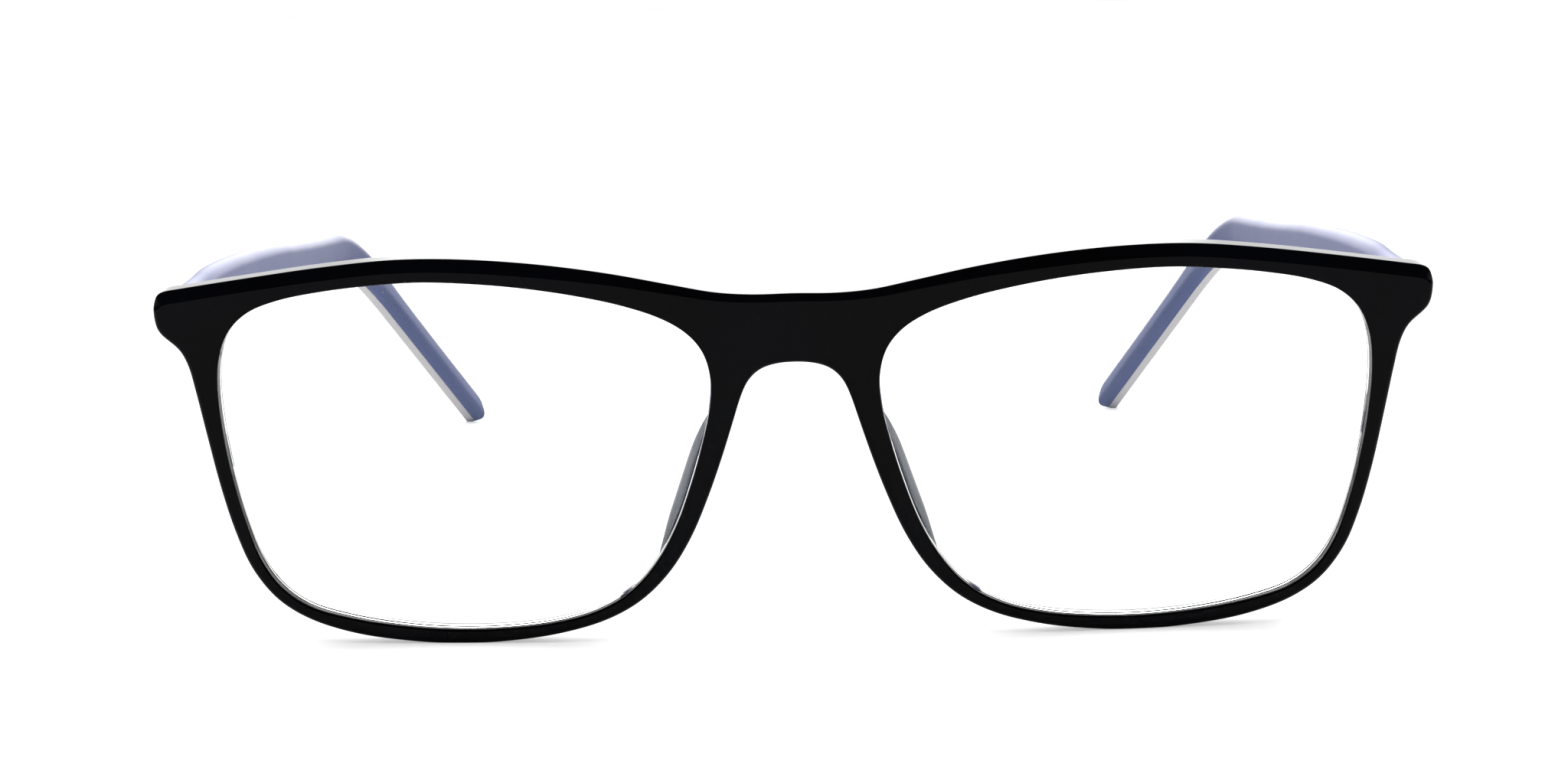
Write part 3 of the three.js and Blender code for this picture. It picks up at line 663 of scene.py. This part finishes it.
def front_frame():
    shell = Shell()
    brow = smoothstep(OUTER_LOOP[:, 1], *CHAMFER_FROM)
    width = mix(BRIDGE_CHAMFER, BROW_CHAMFER, smoothstep(np.abs(OUTER_LOOP[:, 0]), *CHAMFER_WIDENS))
    chamfer = mix(EDGE_ROUND, width, brow)
    radius = mix(EDGE_FILLET, CHAMFER_FILLET, brow)
    outer = swept_rings(shell, OUTER_LOOP, [
        outer_profile(*values) for values in zip(chamfer, radius, thickness(OUTER_LOOP))])
    shell.walls(outer)
    openings = []
    for loop in (OPENING_RIGHT, OPENING_LEFT):
        profiles = [opening_profile(*values) for values in zip(groove_depth(loop), thickness(loop))]
        rings = swept_rings(shell, loop, profiles)
        shell.walls(rings)
        openings.append(rings)
    shell.sheet(outer[0], [rings[0] for rings in openings], FACE_GRID, lambda flat: np.zeros(len(flat)))
    shell.sheet(outer[-1], [rings[-1] for rings in openings], FACE_GRID, thickness)
    piece = shell.make("front_frame_polished", on_front)
    pocket = block(ENDPIECE_AT, ENDPIECE_AXES, (-LEAF_HALF_WIDTH - FIT, LEAF_HALF_WIDTH + FIT),
                   (-LEAF_THICK - FIT, 3), (-LEAF_HALF_HEIGHT - FIT, LEAF_HALF_HEIGHT + FIT))
    holes = screw_holes(FRONT_LEAF_SCREWS, FRONT_SCREW_AXES, LAYER_HOLES)
    tools = [both_sides(tool) for tool in (softened(pocket, POCKET_ROUND, 3), *holes)]
    tools.append(block(Vector((0, FEET_Y, 0)), (OUTWARD, Vector((0, 1, 0)), Vector((0, 0, 1))),
                       (-100, 100), (-20, 20), (-4, 0)))
    combined(piece, "DIFFERENCE", tools)
    return finished(piece, "front", "front_frame", [BLACK])


def lens():
    """A dome with polished faces and a ground bevel that sits in the groove."""
    shell = Shell()
    tongue = OPENING_RIGHT + sideways(OPENING_RIGHT) * LENS_REACH
    shoulder = OPENING_RIGHT - sideways(OPENING_RIGHT) * LENS_SEAT
    face = LENS_THICK / 2

    def at(loop, offset):
        return shell.ring(np.column_stack([loop, groove_depth(loop) + offset]))

    shares = [0.04, 0.12, 0.22, 0.34, 0.46, 0.58, 0.7, 0.8, 0.88, 0.94, 0.98, 1]
    shrunk = [LENS_CENTRE + (shoulder - LENS_CENTRE) * share for share in shares]
    front = [at(loop, -face) for loop in shrunk]
    rear = [at(loop, face) for loop in reversed(shrunk)]
    bevel = [at(shoulder, -LENS_BEVEL_ROOT / 2), at(tongue, -LENS_BEVEL_TIP / 2),
             at(tongue, LENS_BEVEL_TIP / 2), at(shoulder, LENS_BEVEL_ROOT / 2)]
    shell.walls(front)
    shell.walls([front[-1], *bevel[:3]], slot=1)
    shell.walls([*bevel[2:], *rear])
    shell.cover(front[0])
    shell.cover(rear[-1][::-1])
    return shell.make("right_lens_ground", on_front)


def nose_pad():
    """A crowned pad on the back of the nasal rim."""
    shell = Shell()
    line = evenly(spline(PAD_LINE, closed=False), 40, closed=False)
    tangents = unit(np.gradient(line[:, :2], axis=0))
    across = np.stack([tangents[:, 1], -tangents[:, 0]], 1)
    section = spline([(-1, 0), (1, 0), (1.04, 0.3), (0.98, 0.6), (0.75, 0.86), (0.3, 0.99), (-0.2, 0.97),
                      (-0.65, 0.78), (-0.95, 0.42), (-1.02, 0.2)], steps=4)
    rings = []
    for (x, v, share), side in zip(line, across):
        tall = PAD_HEIGHT * max(share, 0.02)
        half = PAD_HALF_WIDTH * min(1, 0.55 + share * 0.5)
        shift = section[:, 0] * half + section[:, 1] * tall * PAD_FLARE
        depth = thickness(np.array([[x, v]])) + PAD_GAP + np.maximum(section[:, 1], 0) * tall
        rings.append(shell.ring(np.column_stack([x + side[0] * shift, v + side[1] * shift, depth])))
    shell.walls(rings)
    shell.cover(rings[0])
    shell.cover(rings[-1][::-1])
    return shell.make("right_nose_pad_crowned", on_front)


# ------------------------------------------------------------------ temple, right side

ALONG = Vector((0, math.cos(TEMPLE_SLOPE), -math.sin(TEMPLE_SLOPE)))
AXIS = Vector((0, math.sin(TEMPLE_SLOPE), math.cos(TEMPLE_SLOPE)))
TEMPLE_ORIGIN = Vector((TEMPLE_X, *front_point(0, TEMPLE_CENTRE_V, TEMPLE_START).yz))
TEMPLE_AXES = (OUTWARD, ALONG, AXIS)
HINGE_AXES = (OUTWARD, HINGE_AXIS.cross(OUTWARD), HINGE_AXIS)

INNER_FACE = -TEMPLE_THICK / 2
SEAM = INNER_FACE + TEMPLE_INNER_THICK
LEAF_FACE = INNER_FACE - LEAF_PROUD
LEAF_BACK = LEAF_FACE + LEAF_THICK


def temple_path():
    tip = Vector((TIP[0], FEET_Y + TIP[1], TIP[2]))
    corner = TEMPLE_ORIGIN + ALONG * ((FEET_Y + BEND_Y - TEMPLE_ORIGIN.y) / ALONG.y)
    drop = (tip - corner).normalized()
    before, after = corner - ALONG * BEND_EASE, corner + drop * BEND_EASE
    bend = [(1 - t) ** 2 * before + 2 * t * (1 - t) * corner + t * t * after for t in np.linspace(0, 1, 60)]
    straight = [TEMPLE_ORIGIN.lerp(before, t) for t in np.linspace(0, 1, 100, endpoint=False)]
    last = [after.lerp(tip, t) for t in np.linspace(0, 1, 40)[1:]]
    return np.array([tuple(p) for p in [*straight, *bend, *last]])


PATH = temple_path()
PATH_AT = np.concatenate([[0], np.cumsum(np.linalg.norm(np.diff(PATH, axis=0), axis=1))])
TEMPLE_LENGTH = PATH_AT[-1]


def temple_frames(distances):
    """Points of the centre line, and its directions along, out from the head and up across the bar."""
    at = np.stack([np.interp(distances, PATH_AT, PATH[:, k]) for k in range(3)], 1)
    step = 0.4
    low, high = np.clip(distances - step, 0, TEMPLE_LENGTH), np.clip(distances + step, 0, TEMPLE_LENGTH)
    ends = [np.stack([np.interp(d, PATH_AT, PATH[:, k]) for k in range(3)], 1) for d in (low, high)]
    along = unit(ends[1] - ends[0])
    out = unit(np.array([1, 0, 0]) - along * along[:, :1])
    return at, along, out, np.cross(out, along)


EDGE_CURVE = spline(TEMPLE_EDGES, closed=False)


def rounded_section(n0, n1, u0, u1, radii):
    """A rectangle with rounded corners; the radii go round from (n0, u0)."""
    corners = np.array([(n0, u0), (n1, u0), (n1, u1), (n0, u1)])
    radii = np.minimum(radii, min(0.45 * (u1 - u0), 0.9 * (n1 - n0) - SEAM_FILLET))
    arcs = [fillet(corner, corners[i - 1] - corner, corners[(i + 1) % 4] - corner, radii[i], 5)
            for i, corner in enumerate(corners)]
    points = []
    for arc, following in zip(arcs, arcs[1:] + arcs[:1]):
        points += arc
        points += [mix(arc[-1], following[0], share) for share in (0.25, 0.5, 0.75)]
    return np.array(points)


def layer(name, n0, n1, radii):
    """One layer of the temple: a rounded bar that follows the centre line."""
    stations = np.unique(np.concatenate([
        END_FILLET * (1 - np.cos(np.linspace(0, math.pi / 2, 5))),
        np.linspace(1, DENSE_FROM - 1, 70),
        np.linspace(DENSE_FROM, DENSE_TO, 64),
        np.linspace(DENSE_TO + 1, TEMPLE_LENGTH - TIP_ROUND, 20),
        TEMPLE_LENGTH - TIP_ROUND * (1 - np.sin(np.linspace(0, math.pi / 2, 22)[:-1])),
        [TEMPLE_LENGTH],
    ]))
    at, along, out, up = temple_frames(stations)
    high = np.interp(stations, EDGE_CURVE[:, 0], EDGE_CURVE[:, 1])
    low = np.interp(stations, EDGE_CURVE[:, 0], EDGE_CURVE[:, 2])
    past = np.clip((stations - TEMPLE_LENGTH) / TIP_ROUND + 1, 0, 1)
    high = low + (high - low) * mix(TIP_BLUNT, 1, np.sqrt(1 - past**2))
    to_end = np.minimum(stations, TEMPLE_LENGTH - stations)
    into_end = np.clip(END_FILLET - to_end, 0, END_FILLET)
    inset = END_FILLET - np.sqrt(END_FILLET**2 - into_end**2)
    shell = Shell()
    rings = []
    for i in range(len(stations)):
        d = inset[i]
        section = rounded_section(n0 + d, n1 - d, low[i] + d, high[i] - d, radii)
        points = at[i] + out[i] * section[:, :1] + up[i] * section[:, 1:]
        lean = max(0, 1 - stations[i] / BUTT_LENGTH) * (up[i] @ np.array(BACK)) / (along[i] @ np.array(BACK))
        rings.append(shell.ring(points - along[i] * section[:, 1:] * lean))
    shell.walls(rings)
    shell.cover(rings[0])
    shell.cover(rings[-1][::-1])
    return shell.make(name)


def cut_flat(piece):
    """Cuts off what lies below the table's surface and closes the cut."""
    work = bmesh.new()
    work.from_mesh(piece.data)
    result = bmesh.ops.bisect_plane(work, geom=[*work.verts, *work.edges, *work.faces], dist=1e-4,
                                    plane_co=(0, 0, 0), plane_no=(0, 0, 1), clear_inner=True)
    rim = [edge for edge in result["geom_cut"] if isinstance(edge, bmesh.types.BMEdge)]
    bmesh.ops.contextual_create(work, geom=rim)
    bmesh.ops.recalc_face_normals(work, faces=work.faces)
    work.to_mesh(piece.data)
    work.free()
    return piece


def temple_inner():
    piece = layer("right_temple_inner_satin", INNER_FACE, SEAM,
                  (INNER_FILLET, SEAM_FILLET, SEAM_FILLET, INNER_FILLET))
    pocket = block(LEAF_AT, TEMPLE_AXES, (INNER_FACE - TOOL_OUT, LEAF_BACK + POCKET_FLOOR),
                   (-FIT, LEAF_LENGTH + FIT), (-TEMPLE_LEAF_HALF - FIT, TEMPLE_LEAF_HALF + FIT))
    holes = screw_holes(TEMPLE_LEAF_SCREWS, TEMPLE_SCREW_AXES, LAYER_HOLES)
    return cut_flat(combined(piece, "DIFFERENCE", [pocket, *holes]))


def temple_outer():
    return cut_flat(layer("right_temple_outer_satin", SEAM + LAYER_GAP, -INNER_FACE,
                          (SEAM_FILLET, TEMPLE_FILLET, TEMPLE_FILLET, SEAM_FILLET)))


# ------------------------------------------------------------------ hinge, right side

ENDPIECE_AT = front_point(LEAF_X, TEMPLE_CENTRE_V, FRONT_THICK)
ENDPIECE_ACROSS = (front_point(LEAF_X + 1, TEMPLE_CENTRE_V, FRONT_THICK) - ENDPIECE_AT).normalized()
ENDPIECE_OUT = UP.cross(ENDPIECE_ACROSS).normalized()
ENDPIECE_AXES = (ENDPIECE_ACROSS, ENDPIECE_OUT, UP)
FRONT_SCREW_AXES = (UP, ENDPIECE_ACROSS, ENDPIECE_OUT)
FRONT_LEAF_SCREWS = [ENDPIECE_AT + ENDPIECE_ACROSS * (LEAF_HALF_WIDTH - FRONT_SCREW_IN) + UP * rise
                     for rise in (-FRONT_SCREW_APART, FRONT_SCREW_APART)]
LEAF_AT = TEMPLE_ORIGIN + ALONG * LEAF_START
TEMPLE_LEAF_SCREWS = [LEAF_AT + ALONG * distance + OUTWARD * LEAF_FACE for distance in TEMPLE_SCREW_IN]
TEMPLE_SCREW_AXES = (AXIS, ALONG, -OUTWARD)


def knuckle(height):
    return pin(PIVOT + HINGE_AXIS * height, HINGE_AXES, KNUCKLE_R, (-KNUCKLE_H / 2, KNUCKLE_H / 2), 64)


def bore():
    return pin(PIVOT, HINGE_AXES, BORE_R, (-6, 6), 48)


def front_leaf():
    plate = softened(block(ENDPIECE_AT, ENDPIECE_AXES, (-LEAF_HALF_WIDTH, LEAF_HALF_WIDTH), (-LEAF_THICK, 0),
                           (-LEAF_HALF_HEIGHT, LEAF_HALF_HEIGHT)), LEAF_BEVEL, 3)
    for height in (-KNUCKLE_PITCH, KNUCKLE_PITCH):
        ear = block(PIVOT + HINGE_AXIS * height, HINGE_AXES, (-EAR_HALF_WIDTH, EAR_HALF_WIDTH),
                    (-PIVOT_BEHIND - LEAF_THICK / 2, 0), (-KNUCKLE_H / 2, KNUCKLE_H / 2))
        combined(plate, "UNION", [ear, softened(knuckle(height), KNUCKLE_BEVEL)])
    plate.name = "right_front_hinge_leaf_steel"
    holes = screw_holes(FRONT_LEAF_SCREWS, FRONT_SCREW_AXES, LEAF_HOLES)
    return combined(plate, "DIFFERENCE", [bore(), *holes])


def temple_leaf():
    plate = softened(block(LEAF_AT, TEMPLE_AXES, (LEAF_FACE, LEAF_BACK), (0, LEAF_LENGTH),
                           (-TEMPLE_LEAF_HALF, TEMPLE_LEAF_HALF)), LEAF_BEVEL, 3)
    reach = TEMPLE_X + LEAF_FACE + LEAF_THICK / 2 - PIVOT.x
    web = block(PIVOT, HINGE_AXES, (0, reach), (-WEB_FRONT, KNUCKLE_R), (-KNUCKLE_H / 2, KNUCKLE_H / 2))
    combined(plate, "UNION", [web, softened(knuckle(0), KNUCKLE_BEVEL)])
    plate.name = "right_temple_hinge_leaf_steel"
    holes = screw_holes(TEMPLE_LEAF_SCREWS, TEMPLE_SCREW_AXES, LEAF_HOLES)
    return combined(plate, "DIFFERENCE", [bore(), *holes])


def hinge_screw():
    top = KNUCKLE_PITCH + KNUCKLE_H / 2 + HEAD_GAP
    head = pin(PIVOT, HINGE_AXES, HEAD_R, (top, top + HEAD_H), 64)
    piece = softened(head, 0.12, 3)
    combined(piece, "UNION", [softened(pin(PIVOT, HINGE_AXES, SCREW_R, (-top, top + 0.2), 48), 0.08, 2)])
    piece.name = "right_hinge_screw_steel"
    slot = block(PIVOT, HINGE_AXES, (-2, 2), (-SLOT / 2, SLOT / 2), (top + HEAD_H - SLOT, top + HEAD_H + 1))
    return combined(piece, "DIFFERENCE", [slot])


def fixing_screw(name, at, axes):
    piece = softened(pin(at, axes, FIX_HEAD_R, (-FIX_HEAD_H, 0), 48), 0.07, 3)
    combined(piece, "UNION", [pin(at, axes, FIX_SHANK_R, (-FIX_LENGTH, -0.1), 32)])
    piece.name = name
    slot = block(at, axes, (-2, 2), (-FIX_SLOT_HALF, FIX_SLOT_HALF), (-FIX_SLOT_DEPTH, TOOL_OUT))
    return combined(piece, "DIFFERENCE", [slot])


# ------------------------------------------------------------------ both sides

front_frame()
RIGHT_PIECES = [
    (lens(), "front", "lens", [CLEAR, GROUND]),
    (nose_pad(), "front", "nose_pad", [BLACK]),
    (temple_inner(), "temple", "temple_inner_layer", [BLUE]),
    (temple_outer(), "temple", "temple_outer_layer", [PALE]),
    (front_leaf(), "front", "front_hinge_leaf", [STEEL]),
    (temple_leaf(), "temple", "temple_hinge_leaf", [STEEL]),
    (hinge_screw(), "front", "hinge_screw", [STEEL]),
]
for place, at in zip(("lower", "upper"), FRONT_LEAF_SCREWS):
    screw = fixing_screw(f"right_front_fixing_screw_{place}", at, FRONT_SCREW_AXES)
    RIGHT_PIECES.append((screw, "front", f"front_leaf_screw_{place}", [STEEL]))
for place, at in zip(("front", "rear"), TEMPLE_LEAF_SCREWS):
    screw = fixing_screw(f"right_temple_fixing_screw_{place}", at, TEMPLE_SCREW_AXES)
    RIGHT_PIECES.append((screw, "temple", f"temple_leaf_screw_{place}", [STEEL]))

for piece, body, node_name, materials in RIGHT_PIECES:
    twin = mirrored(piece, piece.name.replace("right_", "left_"))
    for side, part in (("right", piece), ("left", twin)):
        finished(part, body if body == "front" else f"{side}_{body}", f"{side}_{node_name}", materials)

for side in SIDES:
    wire = frame["nodes"][f"{side}_core_wire"]
    wire.data.materials.clear()
    wire.data.materials.append(STEEL)

# ------------------------------------------------------------------ stage, light and camera

FLOOR_SIZE = 6.0
FLOOR_GLOW = 0.45                  # the table lit from below, as the camera sees it
BACK_LIGHT = 0.5                   # the backdrop as a lamp
MIRROR_LIGHT = 5.4                 # the middle of the backdrop as the glasses reflect it
MIRROR_SIDES = 2.4                 # and its sides
ROOM_LIGHT = 0.05
SKY_LIGHT = 3.6


def floor():
    bpy.ops.mesh.primitive_plane_add(size=FLOOR_SIZE)
    plane = bpy.context.object
    plane.name = "floor"
    material, tree, shader = principled("floor_white", Roughness=0.7, Specular_IOR_Level=0.2)
    grain = ramp(tree, noise(tree, 30, 2), 0, 1, (0.3, 0.7))
    tree.links.new(blend_colours(tree, grain, (0.90, 0.90, 0.90, 1), (0.89, 0.89, 0.895, 1)),
                   shader.inputs["Base Color"])
    rays = node(tree, "ShaderNodeLightPath").outputs
    seen = math_node(tree, "MAXIMUM", rays["Is Camera Ray"], rays["Is Transmission Ray"])
    shader.inputs["Emission Color"].default_value = (1, 1, 1, 1)
    tree.links.new(math_node(tree, "MULTIPLY", seen, FLOOR_GLOW), shader.inputs["Emission Strength"])
    material.cycles.emission_sampling = "NONE"
    plane.data.materials.append(material)


def studio_world():
    """White for the camera; a bright backdrop behind the glasses and a dim room in front for the rest."""
    world = bpy.data.worlds.new("studio")
    bpy.context.scene.world = world
    world.use_nodes = True
    tree = world.node_tree
    background = tree.nodes["Background"]
    where = node(tree, "ShaderNodeTexCoord").outputs["Generated"]
    split = node(tree, "ShaderNodeSeparateXYZ", {0: where})
    rays = node(tree, "ShaderNodeLightPath").outputs
    aside = math_node(tree, "ABSOLUTE", split.outputs["X"], 0)
    mirror = ramp(tree, aside, MIRROR_LIGHT, MIRROR_SIDES, (0.15, 0.21))
    bright = ramp(tree, rays["Is Glossy Ray"], BACK_LIGHT, mirror)
    share = ramp(tree, split.outputs["Y"], 0, 1, (0.2, 0.75))
    low = ramp(tree, split.outputs["Z"], 1, 0, (0.55, 0.8))
    backdrop = math_node(tree, "MULTIPLY", math_node(tree, "MULTIPLY", share, low), bright)
    light = math_node(tree, "ADD", backdrop, ROOM_LIGHT)
    seen = blend_colours(tree, rays["Is Camera Ray"], light, (1, 1, 1, 1))
    tree.links.new(seen, background.inputs["Color"])


def overhead_light():
    """One very wide light from above and behind, even over the whole floor."""
    data = bpy.data.lights.new("overhead", "SUN")
    data.energy, data.angle = SKY_LIGHT, math.radians(110)
    lamp = bpy.data.objects.new("overhead", data)
    lamp.rotation_euler = (math.radians(-25), 0, 0)
    bpy.context.scene.collection.objects.link(lamp)
    lamp.visible_glossy = False


def camera():
    """At the photograph's viewing angle: from the front, a little above, and very slightly rolled."""
    behind_feet, height, aside = -268.75, 75.54, -1.33
    heading, pitch, roll = (math.radians(angle) for angle in (0.027, 9.731, 1.217))
    forward = Vector((math.sin(heading) * math.cos(pitch),
                      math.cos(heading) * math.cos(pitch),
                      -math.sin(pitch)))
    level = forward.cross(Vector((0, 0, 1))).normalized()
    upright = level.cross(forward)
    right = level * math.cos(roll) - upright * math.sin(roll)
    above = upright * math.cos(roll) + level * math.sin(roll)
    data = bpy.data.cameras.new("camera")
    data.lens, data.sensor_width = 57.3, 36
    data.clip_start, data.clip_end = 0.01, 20
    view = bpy.data.objects.new("camera", data)
    place = Vector((aside, FEET_Y + behind_feet, height)) * MM
    view.matrix_world = Matrix.Translation(place) @ Matrix((right, above, -forward)).transposed().to_4x4()
    bpy.context.scene.collection.objects.link(view)
    bpy.context.scene.camera = view


floor()
studio_world()
overhead_light()
camera()
bpy.context.scene.view_settings.view_transform = "Standard"
